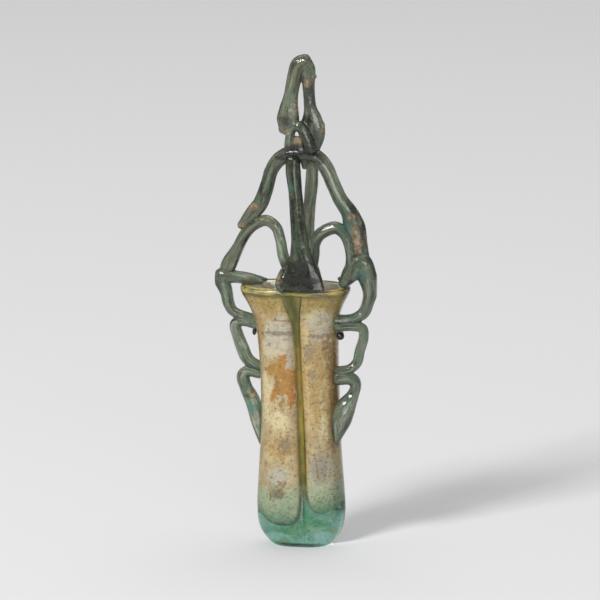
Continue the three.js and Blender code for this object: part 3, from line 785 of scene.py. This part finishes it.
# A mix node's sockets for colours, which share their names with its other sockets
MIX_SHARE, MIX_FIRST, MIX_SECOND, MIX_RESULT = 0, 6, 7, 2
# How much lumps and grains push a mask's edge about, and the mask's value from which they can
LUMP_BITE = 2.2
GRAIN_BITE = 2.0
BITE_START = (0.02, 0.25)


class Shader:
    """A material made of nodes, with short ways to add and join them."""

    def __init__(self, name):
        self.material = bpy.data.materials.new(name)
        self.material.use_nodes = True
        self.tree = self.material.node_tree
        self.tree.nodes.clear()
        self.output = self.tree.nodes.new("ShaderNodeOutputMaterial")
        self.surface = self.add("ShaderNodeBsdfPrincipled")
        self.tree.links.new(self.surface.outputs["BSDF"], self.output.inputs["Surface"])
        self.here = self.place()

    def add(self, kind, inputs=None, **settings):
        node = self.tree.nodes.new(kind)
        for key, value in settings.items():
            setattr(node, key, value)
        for key, value in (inputs or {}).items():
            self.set(node, key, value)
        return node

    def set(self, node, key, value):
        socket = node.inputs[key]
        if isinstance(value, bpy.types.NodeSocket):
            self.tree.links.new(value, socket)
        elif socket.type == "RGBA" and len(value) == 3:
            socket.default_value = (*value, 1)
        else:
            socket.default_value = value

    def finished(self, colour, roughness, others=None):
        """The material, once its surface has its colour, roughness and other inputs."""
        inputs = {"Base Color": colour, "Roughness": roughness, **(others or {})}
        for key, value in inputs.items():
            self.set(self.surface, key, value)
        return self.material

    def stretched(self, vector, scale):
        return self.add("ShaderNodeMapping", {"Vector": vector, "Scale": scale}).outputs["Vector"]

    def place(self, scale=(1, 1, 1)):
        """Object coordinates in metres, stretched."""
        return self.stretched(self.add("ShaderNodeTexCoord").outputs["Object"], scale)

    def kept(self, name, scale):
        """A vector kept on the mesh, stretched."""
        return self.stretched(self.add("ShaderNodeAttribute", attribute_name=name).outputs["Vector"], scale)

    def number(self, name):
        """A number kept on the mesh."""
        return self.add("ShaderNodeAttribute", attribute_name=name).outputs["Fac"]

    def noise(self, scale, detail, roughness=0.55, distortion=0.0, at=None):
        """Noise from 0 to 1, with about scale lumps to a metre, over the object or over the vector at."""
        inputs = {"Vector": at or self.here, "Scale": scale, "Detail": detail, "Roughness": roughness}
        inputs["Distortion"] = distortion
        return self.add("ShaderNodeTexNoise", inputs).outputs["Fac"]

    def cells(self, scale):
        return self.add("ShaderNodeTexVoronoi", {"Vector": self.here, "Scale": scale}).outputs["Distance"]

    def steps(self, value, low, high, to_low=0.0, to_high=1.0):
        """A smooth step between low and high, from the value to_low to the value to_high."""
        inputs = {"Value": value, "From Min": low, "From Max": high, "To Min": to_low, "To Max": to_high}
        return self.add("ShaderNodeMapRange", inputs, interpolation_type="SMOOTHSTEP").outputs["Result"]

    def math(self, operation, a, b):
        return self.add("ShaderNodeMath", {0: a, 1: b}, operation=operation).outputs["Value"]

    def plus(self, a, b):
        return self.math("ADD", a, b)

    def times(self, a, b):
        return self.math("MULTIPLY", a, b)

    def mix(self, share, a, b):
        inputs = {MIX_SHARE: share, MIX_FIRST: a, MIX_SECOND: b}
        return self.add("ShaderNodeMix", inputs, data_type="RGBA").outputs[MIX_RESULT]

    def above(self, colour, pattern, low, high, most, tint):
        """The colour with up to most of the tint over it, where the pattern is high."""
        return self.mix(self.steps(pattern, low, high, 0, most), colour, tint)

    def below(self, colour, pattern, low, high, most, tint):
        """The colour with up to most of the tint over it, where the pattern is low."""
        return self.mix(self.steps(pattern, low, high, most, 0), colour, tint)

    def masked(self, colour, mask, most, tint):
        return self.mix(self.times(mask, most), colour, tint)

    def ragged(self, name, lumps, grains, softness=0.3):
        """A mask kept on the mesh, whose edge wanders with the lumps and is broken up by the grains."""
        mask = self.number(name)
        pushed = self.plus(mask, self.times(self.math("SUBTRACT", lumps, 0.5), LUMP_BITE))
        pushed = self.plus(pushed, self.times(self.math("SUBTRACT", grains, 0.5), GRAIN_BITE))
        return self.times(self.steps(pushed, 0.5 - softness, 0.5 + softness), self.steps(mask, *BITE_START))

    def scaled(self, colour, value):
        node = self.add("ShaderNodeVectorMath", {0: colour, "Scale": value}, operation="SCALE")
        return node.outputs["Vector"]

    def bump(self, height, strength, distance):
        node = self.add("ShaderNodeBump", {"Height": height, "Strength": strength, "Distance": distance})
        self.set(self.surface, "Normal", node.outputs["Normal"])


# All colours are linear red, green and blue. These are the body's glass
BLUE_GREEN = (0.50, 0.80, 0.70)
PALE_BLUE = (0.74, 0.90, 0.90)
GREEN_FLECK = (0.34, 0.62, 0.42)
ALMOST_CLEAR = (0.96, 0.97, 0.91)
STRAW = (0.95, 0.94, 0.80)
GOLDEN = (0.78, 0.71, 0.30)
GLASS_PIT = (0.10, 0.10, 0.07)
GLASS_DEPTH = (0.42, 0.66, 0.56)
GLASS_DENSITY = 60.0


def body_glass_material():
    shader = Shader("yellowish_glass")
    clouds = shader.noise(130, 6, 0.65)
    grit = shader.noise(900, 6, 0.7)
    base = shader.mix(shader.steps(clouds, 0.42, 0.56), BLUE_GREEN, PALE_BLUE)
    base = shader.above(base, grit, 0.56, 0.64, 0.7, GREEN_FLECK)
    upper = shader.mix(shader.number("high"), ALMOST_CLEAR, STRAW)
    # Near the web the glass is tinted golden: partly the web's own olive glass, partly painted shade that
    # darkens it towards the web between the tubes
    upper = shader.mix(shader.number("web"), upper, GOLDEN)
    colour = shader.mix(shader.ragged("low", clouds, grit), upper, base)
    colour = shader.above(colour, grit, 0.66, 0.7, 0.8, GLASS_PIT)
    waves = shader.noise(90, 3)
    shader.bump(shader.plus(waves, shader.times(grit, 0.16)), 0.4, 0.0008)
    absorb = shader.add("ShaderNodeVolumeAbsorption", {"Color": GLASS_DEPTH, "Density": GLASS_DENSITY})
    shader.tree.links.new(absorb.outputs["Volume"], shader.output.inputs["Volume"])
    return shader.finished(colour, 0.09, {"IOR": 1.5, "Transmission Weight": 1.0})


# The weathering inside the tubes
PALE = (0.62, 0.51, 0.32)
ORANGE = (0.38, 0.145, 0.004)
BROWN = (0.18, 0.08, 0.012)
TAN = (0.35, 0.205, 0.04)
SHADE = (0.15, 0.125, 0.09)
SPECK = (0.085, 0.045, 0.015)
# The lining's masks, laid one over another: name, colour, softness of the edge, strength
LINING_LAYERS = [
    ("cream", PALE, 0.3, 0.8),
    ("greyed", (0.41, 0.37, 0.32), 0.4, 0.8),
    ("tan", TAN, 0.4, 0.7),
    ("band", SHADE, 0.5, 0.75),
    ("buff", (0.38, 0.37, 0.25), 0.45, 0.85),
    ("aqua", (0.20, 0.33, 0.22), 0.5, 0.75),
    ("orange", ORANGE, 0.22, 0.95),
    ("ochre", (0.31, 0.165, 0.012), 0.6, 0.8),
    ("brown", BROWN, 0.3, 0.6),
    ("olive", (0.31, 0.22, 0.045), 0.45, 0.85),
    ("shade", SHADE, 0.45, 0.6),
    ("bottom", (0.03, 0.07, 0.03), 0.4, 0.8),
    # Painted highlight: a small near-white spot on the left bulb that stands in for a glint of the lamp
    ("painted_glint", (0.90, 0.92, 0.82), 0.5, 0.9),
    ("line", BROWN, 0.4, 0.7),
    ("mouth", (0.95, 0.93, 0.75), 0.45, 0.95),
]


def lining_material():
    shader = Shader("weathered_lining")
    clouds = shader.noise(110, 7, 0.62)
    grit = shader.noise(640, 8, 0.72)
    fine = shader.noise(1900, 4, 0.65)
    crumb = shader.noise(230, 9, 0.75, 0.3)
    streaks = shader.noise(380, 6, 0.65, 0.5, shader.place((1, 1, 0.22)))
    colour = shader.mix(shader.steps(clouds, 0.4, 0.6), (0.49, 0.355, 0.175), (0.38, 0.30, 0.18))
    colour = shader.above(colour, streaks, 0.5, 0.68, 0.55, TAN)
    colour = shader.below(colour, streaks, 0.32, 0.42, 0.45, PALE)
    colour = shader.above(colour, clouds, 0.52, 0.62, 0.3, ORANGE)
    for name, tint, softness, most in LINING_LAYERS:
        colour = shader.masked(colour, shader.ragged(name, crumb, grit, softness), most, tint)
    colour = shader.above(colour, crumb, 0.53, 0.66, 0.6, (0.26, 0.13, 0.035))
    colour = shader.above(colour, grit, 0.54, 0.64, 0.65, SPECK)
    colour = shader.below(colour, grit, 0.34, 0.44, 0.3, (0.72, 0.62, 0.42))
    colour = shader.below(colour, shader.cells(420), 0.1, 0.2, 0.8, SPECK)
    colour = shader.above(colour, fine, 0.56, 0.64, 0.6, (0.17, 0.10, 0.04))
    shader.bump(shader.plus(grit, shader.plus(crumb, clouds)), 0.6, 0.0004)
    return shader.finished(colour, shader.steps(grit, 0.3, 0.7, 0.5, 0.8))


# The web's dark and light streaks, where it is golden, brown and green
GOLDEN_STREAKS = (0.06, 0.065, 0.004), (0.16, 0.145, 0.012)
BROWN_STREAKS = (0.12, 0.09, 0.006), (0.25, 0.18, 0.018)
GREEN_STREAKS = (0.09, 0.085, 0.008), (0.24, 0.185, 0.02)


def core_material():
    shader = Shader("clouded_core")
    streaks = shader.noise(300, 6, 0.65, at=shader.place((1, 1, 0.4)))
    clouds = shader.noise(100, 7, 0.68, 0.4)
    patches = shader.noise(170, 8, 0.72, 0.3)
    grit = shader.noise(800, 7, 0.72)
    streaked = shader.steps(streaks, 0.35, 0.65)
    golden = shader.mix(streaked, *GOLDEN_STREAKS)
    brown = shader.mix(streaked, *BROWN_STREAKS)
    green = shader.mix(streaked, *GREEN_STREAKS)
    colour = shader.mix(shader.ragged("upper", streaks, grit), brown, golden)
    colour = shader.mix(shader.ragged("lower", streaks, grit), colour, green)
    base = shader.mix(shader.steps(clouds, 0.38, 0.60), (0.08, 0.20, 0.14), (0.20, 0.33, 0.26))
    base = shader.masked(base, shader.ragged("milky", clouds, grit, 0.45), 0.8, (0.27, 0.385, 0.37))
    base = shader.masked(base, shader.ragged("emerald", patches, grit, 0.45), 0.8, (0.035, 0.20, 0.075))
    base = shader.below(base, patches, 0.34, 0.47, 0.7, (0.28, 0.30, 0.15))
    base = shader.above(base, grit, 0.55, 0.66, 0.8, (0.02, 0.07, 0.04))
    base = shader.below(base, grit, 0.34, 0.44, 0.5, (0.42, 0.58, 0.50))
    colour = shader.mix(shader.ragged("base", patches, grit, 0.45), colour, base)
    shader.bump(shader.plus(grit, clouds), 0.6, 0.0005)
    return shader.finished(colour, shader.steps(grit, 0.3, 0.7, 0.3, 0.6))


def lip_material():
    shader = Shader("golden_lip")
    clouds = shader.noise(130, 5, 0.6)
    streaks = shader.noise(420, 6, 0.65, at=shader.place((0.3, 0.3, 1.6)))
    colour = shader.mix(shader.steps(clouds, 0.4, 0.6), (0.30, 0.26, 0.085), (0.11, 0.115, 0.04))
    colour = shader.above(colour, streaks, 0.5, 0.6, 0.7, (0.50, 0.34, 0.08))
    colour = shader.below(colour, streaks, 0.36, 0.44, 0.7, (0.035, 0.04, 0.018))
    return shader.finished(colour, shader.steps(clouds, 0.3, 0.7, 0.25, 0.45))


def trail_material(name, dark, middle, pale, clearness, ior=1.5, veil=1.0, polish=1.0):
    """Drawn glass: veil is how strong its patches are, and polish how glossy it is."""
    shader = Shader(name)
    streak = shader.noise(1.5, 6, 0.65, 0.2, shader.kept("grain", (0.045, 1.1, 1.1)))
    hair = shader.noise(1.5, 5, 0.65, at=shader.kept("grain", (0.06, 4.5, 4.5)))
    clouds = shader.noise(150, 6, 0.65)
    grit = shader.noise(560, 8, 0.72)
    fine = shader.noise(1700, 4, 0.65)
    colour = shader.mix(shader.steps(streak, 0.38, 0.52), dark, middle)
    colour = shader.above(colour, streak, 0.52, 0.68, 0.9, pale)
    colour = shader.above(colour, hair, 0.52, 0.68, 0.35, dark)
    colour = shader.below(colour, hair, 0.34, 0.46, 0.3, pale)
    colour = shader.above(colour, clouds, 0.5, 0.62, 0.5 * veil, (0.10, 0.19, 0.12))
    colour = shader.below(colour, clouds, 0.38, 0.46, 0.4 * veil, (0.21, 0.185, 0.105))
    colour = shader.masked(colour, shader.ragged("teal", clouds, grit, 0.45), 0.75, (0.055, 0.15, 0.115))
    colour = shader.scaled(colour, shader.number("tone"))
    # Painted shade and light: the colour is darkened strongly towards the rims seen edge-on, and made a
    # little lighter where the surface faces the view
    facing = shader.add("ShaderNodeLayerWeight", {"Blend": 0.5}).outputs["Facing"]
    colour = shader.scaled(colour, shader.steps(facing, 0.35, 0.95, 1.08, 0.28))
    stain = shader.ragged("stain", clouds, grit, 0.4)
    soot = shader.mix(shader.steps(fine, 0.46, 0.58), (0.005, 0.004, 0.005), (0.045, 0.044, 0.036))
    colour = shader.masked(colour, stain, 0.8, soot)
    colour = shader.above(colour, grit, 0.58, 0.66, 0.7, (0.02, 0.022, 0.016))
    colour = shader.below(colour, grit, 0.36, 0.42, 0.4 * polish, (0.38, 0.40, 0.33))
    colour = shader.below(colour, shader.cells(380), 0.07, 0.16, 0.7, (0.02, 0.02, 0.016))
    crust = shader.ragged("crust", clouds, grit, 0.4)
    crumbs = shader.mix(shader.steps(grit, 0.42, 0.56), (0.70, 0.54, 0.36), (0.20, 0.105, 0.04))
    crumbs = shader.above(crumbs, fine, 0.52, 0.6, 0.7, (0.10, 0.055, 0.02))
    colour = shader.masked(colour, crust, 0.85, crumbs)
    rough = shader.steps(clouds, 0.35, 0.65, 0.02 / polish, 0.09 / polish)
    rough = shader.plus(rough, shader.times(crust, 0.5))
    rough = shader.plus(rough, shader.times(stain, 0.22))
    height = shader.plus(streak, shader.times(hair, 0.4))
    shader.bump(shader.plus(height, shader.times(grit, 0.2)), 0.32, 0.0004)
    return shader.finished(colour, rough, {"IOR": ior, "Transmission Weight": clearness})


def wire_material():
    shader = Shader("black_wire")
    grit = shader.noise(900, 3)
    colour = shader.mix(grit, (0.006, 0.006, 0.007), (0.02, 0.018, 0.018))
    return shader.finished(colour, shader.steps(grit, 0.3, 0.7, 0.12, 0.25))


def floor_material():
    shader = Shader("pale_floor")
    colour = shader.mix(shader.noise(3, 2), (0.685, 0.68, 0.685), (0.705, 0.70, 0.705))
    return shader.finished(colour, 0.9, {"Specular IOR Level": 0.1})


# Places on the lining: x, z, half width, half height
LINING_PLACES = {
    "cream": [
        [-14.5, 71, 2.2, 17], [10.3, 62, 1.6, 13], [-9, 60, 5, 5], [12.6, 57, 1, 9],
        [-6, 106, 6, 3], [9, 109, 6, 6], [-9, 96, 5, 7], [-13.5, 98, 3.4, 11],
    ],
    "greyed": [
        [-12.5, 99, 4, 10], [10, 107, 6, 6], [-8, 100, 5.5, 12], [10.5, 36.5, 5.6, 8],
        [-7.9, 72, 2.2, 3], [-5, 88, 3, 5], [9.5, 98, 4.5, 8], [-9, 33, 6, 6],
    ],
    "tan": [
        [-8, 47, 8, 5.5], [9, 88, 6, 14], [15, 75, 4, 26],
        [8, 70, 3, 16], [-17.4, 100, 1.4, 12], [-13, 112, 6, 3.5],
    ],
    "orange": [
        [-7.5, 84, 3, 8], [-4.5, 79, 4.2, 6], [-6, 75.5, 5.6, 5],
        [-11, 83.5, 5, 2.4], [-3, 71, 2.2, 4], [-11, 72, 2, 4],
    ],
    "ochre": [[-10, 83, 4, 4], [-7, 77, 1.8, 6], [-3.4, 80, 1.4, 5]],
    # Where the painted highlight, a glint of the lamp, sits on the left bulb
    "painted_glint": [[-9.3, 14.6, 0.8, 0.7], [-6.4, 13.6, 0.4, 0.3]],
    "brown": [
        [15.6, 66, 2.2, 15], [13, 93, 1.8, 6], [14.6, 86, 1.6, 9], [16, 52, 1.6, 6],
        [-10, 77, 1.6, 4], [-7, 67.5, 1.6, 2], [-10, 24.5, 3.4, 2.4], [-7, 29.5, 2, 2],
    ],
    "shade": [
        [9.8, 38, 4.6, 8], [-10, 25, 4, 3], [5.5, 92, 2.4, 6],
        [7.4, 82, 2, 5], [-6, 49, 3, 4],
    ],
}
# How far the places on the back are moved down after they are mirrored
BACK_DROP = 14
# Where the olive of the front wall and the pale mouth of the back wall start
OLIVE_START = (108, 116.5)
MOUTH_PALE_START = (104, 114)
# Layers over the floor of a tube: name, heights above the floor between which each ends, waviness
FLOOR_LAYERS = [("buff", 14, 24, 1), ("aqua", 1, 12, 1), ("bottom", 1.2, 3.2, 0.3)]
LAYER_WAVE = 2.5
# Fine brown lines, from one end's x and z to the other's
LINING_LINES = [
    [-14, 21.4, -6.2, 28.8], [-12.6, 20, -5.8, 26], [-11.4, 26.4, -6.8, 31.2],
    [-9.4, 30.8, -6, 30], [-14.4, 24.4, -11.6, 25.6], [-8.6, 67, -6.6, 63.6],
    [-7.4, 67.2, -6, 64.4], [5.5, 48.4, 16, 48], [-13.1, 107, -2.3, 107.4],
    [8, 44, 9.5, 33],
]
LINING_LINE_REACH = 0.56
# The wire behind, faintly seen through both tubes: x, z, half width, half height
WIRE_SHADOW = [[-8.5, 101, 9, 1.25], [9.4, 100.2, 7.5, 1.1]]


def line_mask(x, z):
    """How much each place is on one of the fine lines, 0 to 1."""
    most = np.zeros(len(x))
    for x0, z0, x1, z1 in LINING_LINES:
        run = np.array([x1 - x0, z1 - z0])
        share = np.clip(((x - x0) * run[0] + (z - z0) * run[1]) / (run @ run), 0, 1)
        away = np.hypot(x - x0 - share * run[0], z - z0 - share * run[1])
        most = np.maximum(most, 1 - smooth_step(0, LINING_LINE_REACH, away))
    return most


def mask_lining(obj, floor):
    """Puts the masks on a lining; its back wall has the front's places mirrored and moved down."""
    points = points_of(obj)
    x, y, z = points.T
    behind = smooth_step(-1, 1, y)
    in_front = 1 - behind
    mirrored = np.stack([2 * x.mean() - x, y, z + BACK_DROP], axis=1)
    for name, places in LINING_PLACES.items():
        front = near_places(points, places, ragged=1.4)
        back = near_places(mirrored, places, ragged=1.4)
        put(obj, name, front * in_front + back * behind)
    wave = LAYER_WAVE * noise_at(points, size=7, seed=4)
    put(obj, "olive", smooth_step(*OLIVE_START, z + wave) * in_front)
    put(obj, "mouth", smooth_step(*MOUTH_PALE_START, z + wave) * behind)
    for name, low, high, waviness in FLOOR_LAYERS:
        put(obj, name, 1 - smooth_step(floor + low, floor + high, z + waviness * wave))
    put(obj, "band", near_places(points, WIRE_SHADOW, ragged=0.3) * in_front)
    put(obj, "line", line_mask(x, z) * in_front)


def dress(obj, material, slot, *nodes):
    obj.data.materials.clear()
    obj.data.materials.append(material)
    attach(obj, "root")
    if nodes:
        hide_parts(*nodes)
    return obj


# Heights between which the body's blue-green foot ends, its web starts and its golden mouth starts, and
# how far to both sides of its middle the web reaches
FOOT_COLOUR_END = (18, 38)
WEB_START = (22, 34)
MOUTH_COLOUR_START = (100, 116)
WEB_FADE = (0.6, 2.8)

body = dress(made_body(), body_glass_material(), "body_glass", "double_tube_body")
body_x, _, body_z = points_of(body).T
from_web = np.abs(body_x - body_section_at(body_z)[:, -1])
put(body, "low", 1 - smooth_step(*FOOT_COLOUR_END, body_z))
put(body, "high", smooth_step(*MOUTH_COLOUR_START, body_z))
# The web mask carries the web's olive glass and, partly, painted shade darker towards the web
put(body, "web", (1 - smooth_step(*WEB_FADE, from_web)) * smooth_step(*WEB_START, body_z))
body.visible_shadow = False

lining = lining_material()
for name, side, floor in TUBES:
    cup = made_lining(name + "_lining", side, floor)
    mask_lining(cup, floor)
    dress(cup, lining, "body_glass")

dress(made_core(), core_material(), "body_glass")
dress(made_lip_thread(), lip_material(), "body_glass")

# The dark, middle and pale streaks of the trails and of the dark post
TRAIL_STREAKS = (0.05, 0.062, 0.04), (0.18, 0.21, 0.14), (0.44, 0.48, 0.37)
POST_STREAKS = (0.018, 0.023, 0.015), (0.052, 0.064, 0.042), (0.12, 0.14, 0.095)
trail_glass = trail_material("blue_green_glass", *TRAIL_STREAKS, clearness=0.6)
post_glass = trail_material("dark_post_glass", *POST_STREAKS, clearness=0.3, ior=1.4, veil=0.3, polish=0.6)
for seed, (node, strands) in enumerate(TRAILS.items(), start=1):
    trail = made_trail(node, strands, seed)
    if node == "front_post":
        dress(trail, post_glass, "dark_post_glass", node)
    else:
        dress(trail, trail_glass, "trail_glass", node)

dress(made_wire(), wire_material(), "dark_wire", "retaining_wire")

# The studio: a pale floor, three soft lights and an even grey world
FLOOR_REACH = 6000
floor_corners = [(x * FLOOR_REACH, y * FLOOR_REACH, 0) for x, y in ((-1, -1), (1, -1), (1, 1), (-1, 1))]
studio_floor = mesh_object("floor", floor_corners, [(0, 1, 2, 3)])
studio_floor.data.materials.append(floor_material())


def soft_light(name, place, target, size, power):
    """A rectangular lamp, with places and sizes in metres and its power in watts."""
    data = bpy.data.lights.new(name, "AREA")
    data.shape = "RECTANGLE"
    data.size, data.size_y = size
    data.energy = power
    light = linked(name, data)
    light.location = place
    light.rotation_euler = (Vector(target) - Vector(place)).to_track_quat("-Z", "Y").to_euler()


soft_light("key", place=(-1.3, -2.25, 2.15), target=(0, 0, 0.1), size=(0.7, 0.7), power=82)
soft_light("top", place=(0, 1.0, 2.6), target=(0, 0.9, 0), size=(3, 2.6), power=40.5)
soft_light("front", place=(0.9, -2.4, 0.45), target=(0, 0, 0.12), size=(1.2, 0.7), power=17)

WORLD_GREY = (0.8, 0.81, 0.83, 1)
WORLD_STRENGTH = 0.35
world = bpy.data.worlds.new("studio")
bpy.context.scene.world = world
world.use_nodes = True
background = world.node_tree.nodes["Background"]
background.inputs["Color"].default_value = WORLD_GREY
background.inputs["Strength"].default_value = WORLD_STRENGTH

# A long lens at the photograph's angle, aimed a little to the left of the flask's middle
CAMERA_AZIMUTH = math.radians(10)
CAMERA_ELEVATION = math.radians(12)
CAMERA_DISTANCE = 3.0
CAMERA_REACH = 50
AIM_LEFT = 0.46
AIM_HEIGHT = 115.2
PIXELS_PER_MM = 2.17
PHOTO_PIXELS = 600
SENSOR = 36

aim = Vector((-AIM_LEFT * math.cos(CAMERA_AZIMUTH), -AIM_LEFT * math.sin(CAMERA_AZIMUTH), AIM_HEIGHT)) * MM
back = Vector((
    math.sin(CAMERA_AZIMUTH) * math.cos(CAMERA_ELEVATION),
    -math.cos(CAMERA_AZIMUTH) * math.cos(CAMERA_ELEVATION),
    math.sin(CAMERA_ELEVATION),
))
camera_data = bpy.data.cameras.new("camera")
camera_data.sensor_width = SENSOR
camera_data.lens = SENSOR * CAMERA_DISTANCE / (PHOTO_PIXELS / PIXELS_PER_MM * MM)
camera_data.clip_end = CAMERA_REACH
camera = linked("camera", camera_data)
camera.location = aim + back * CAMERA_DISTANCE
camera.rotation_mode = "QUATERNION"
camera.rotation_quaternion = (-back).to_track_quat("-Z", "Y")
bpy.context.scene.camera = camera
bpy.context.scene.view_settings.view_transform = "Standard"
